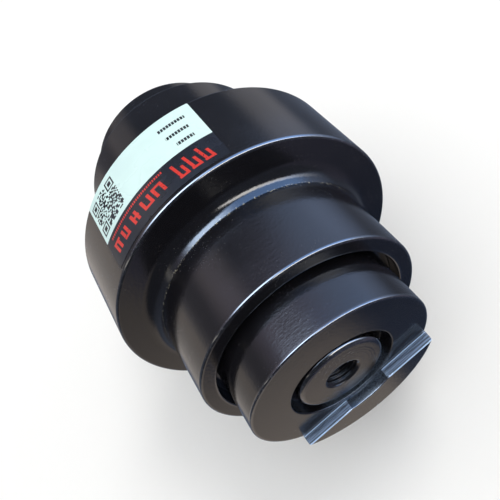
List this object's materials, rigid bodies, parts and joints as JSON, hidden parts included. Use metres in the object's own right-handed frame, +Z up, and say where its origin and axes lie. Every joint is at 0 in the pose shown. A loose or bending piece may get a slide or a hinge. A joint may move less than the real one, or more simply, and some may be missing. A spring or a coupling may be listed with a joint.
{
  "type": "track roller",
  "caption": "Bottom track roller with one wide centre flange, turning on a fixed shaft between two end collars with locating steps and threaded shaft ends.",
  "frame": {"origin": "the middle of the roller, on the axis it turns about", "axes": "+Y along the roller axis towards the rear end, +Z up towards the track frame, +X across; the locating steps of both collars are at -Z"},
  "size_m": [0.14, 0.1808, 0.1401],
  "materials": {
    "black_paint": "semi-gloss black paint",
    "shaft_paint": "thin semi-gloss black paint over turned steel",
    "bush_bronze": "machined bronze",
    "pin_steel": "ground steel",
    "seal_iron": "lapped hard iron",
    "seal_rubber": "matte nitrile rubber",
    "label_film": "printed glossy film"
  },
  "bodies": {
    "axle": {"shaft": "shaft_paint", "front_collar": "black_paint", "rear_collar": "black_paint", "front_lock_pin": "pin_steel", "rear_lock_pin": "pin_steel", "front_shaft_o_ring": "seal_rubber", "rear_shaft_o_ring": "seal_rubber", "front_fixed_seal_ring": "seal_iron", "rear_fixed_seal_ring": "seal_iron", "front_fixed_toric_ring": "seal_rubber", "rear_fixed_toric_ring": "seal_rubber", "oil_plug": "pin_steel"},
    "roller": {"roller_shell": "black_paint", "front_bush": "bush_bronze", "rear_bush": "bush_bronze", "front_turning_seal_ring": "seal_iron", "rear_turning_seal_ring": "seal_iron", "front_turning_toric_ring": "seal_rubber", "rear_turning_toric_ring": "seal_rubber", "label": "label_film"}
  },
  "joints": [
    {"name": "roller_spin", "type": "hinge", "parent": "axle", "child": "roller", "pos_m": [0, 0, 0], "axis": [0, 1, 0], "continuous": true}
  ]
}
